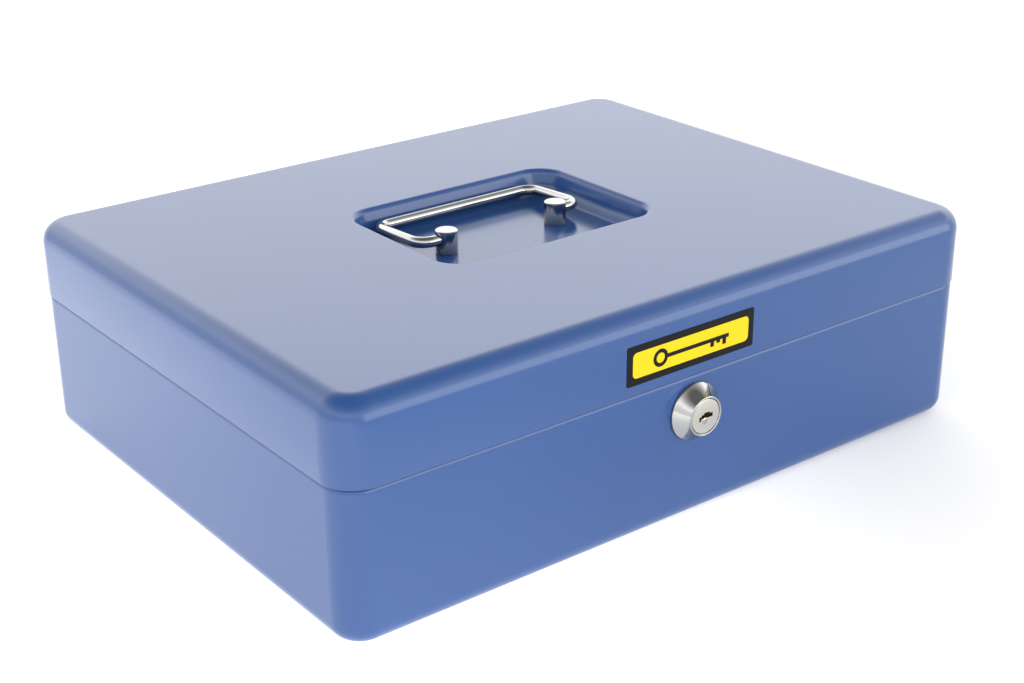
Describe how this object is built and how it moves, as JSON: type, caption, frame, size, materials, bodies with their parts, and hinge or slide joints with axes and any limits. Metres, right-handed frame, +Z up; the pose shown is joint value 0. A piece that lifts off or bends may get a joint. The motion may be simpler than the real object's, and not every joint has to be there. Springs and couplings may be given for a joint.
{
  "type": "cash box",
  "caption": "Low rectangular steel cash box with a rear-hinged lid, a folding wire handle in a lid recess, a front cam lock and a lift-out coin tray.",
  "frame": {"origin": "on the ground under the middle of the box's flat bottom", "axes": "+Z up, -Y towards the front with the lock and the label, +X to the right as seen from the front"},
  "size_m": [0.3, 0.2387, 0.089],
  "materials": {
    "blue_paint": "satin blue powder coat",
    "chrome": "bright chrome plate",
    "zinc": "dull zinc plate",
    "label_black": "black printed film",
    "label_yellow": "yellow printed film",
    "tray_plastic": "fine-textured black moulding"
  },
  "bodies": {
    "base": {"base_shell": "blue_paint", "lock_housing": "chrome", "lock_washer": "zinc", "lock_nut": "zinc", "hinge_base_leaf_left": "blue_paint", "hinge_pin_left": "zinc", "hinge_base_rivet_left_a": "zinc", "hinge_base_rivet_left_b": "zinc", "hinge_base_leaf_right": "blue_paint", "hinge_pin_right": "zinc", "hinge_base_rivet_right_a": "zinc", "hinge_base_rivet_right_b": "zinc"},
    "lid": {"lid_shell": "blue_paint", "lock_keeper": "zinc", "label_border": "label_black", "label_panel": "label_yellow", "handle_post_left": "chrome", "post_washer_left": "zinc", "hinge_lid_leaf_left": "blue_paint", "hinge_lid_rivet_left_a": "zinc", "hinge_lid_rivet_left_b": "zinc", "handle_post_right": "chrome", "post_washer_right": "zinc", "hinge_lid_leaf_right": "blue_paint", "hinge_lid_rivet_right_a": "zinc", "hinge_lid_rivet_right_b": "zinc"},
    "bail": {"handle_bail": "chrome"},
    "plug": {"lock_plug": "chrome", "lock_cam": "zinc", "cam_nut": "zinc"},
    "tray": {"coin_tray_rear": "tray_plastic", "coin_tray_left": "tray_plastic", "coin_tray_right": "tray_plastic", "coin_tray_centre": "tray_plastic"}
  },
  "joints": [
    {"name": "lid_hinge", "type": "hinge", "parent": "base", "child": "lid", "pos_m": [0, 0.1165, 0.058], "axis": [-1, 0, 0], "range_deg": [0, 100]},
    {"name": "bail_hinge", "type": "hinge", "parent": "lid", "child": "bail", "pos_m": [0, 0, 0.0845], "axis": [1, 0, 0], "range_deg": [0, 173]},
    {"name": "lock_turn", "type": "hinge", "parent": "base", "child": "plug", "pos_m": [0, -0.108, 0.044], "axis": [0, 1, 0], "range_deg": [0, 90]},
    {"name": "tray_lift", "type": "slide", "parent": "base", "child": "tray", "axis": [0, 0, 1], "range_m": [0, 0.008]}
  ]
}
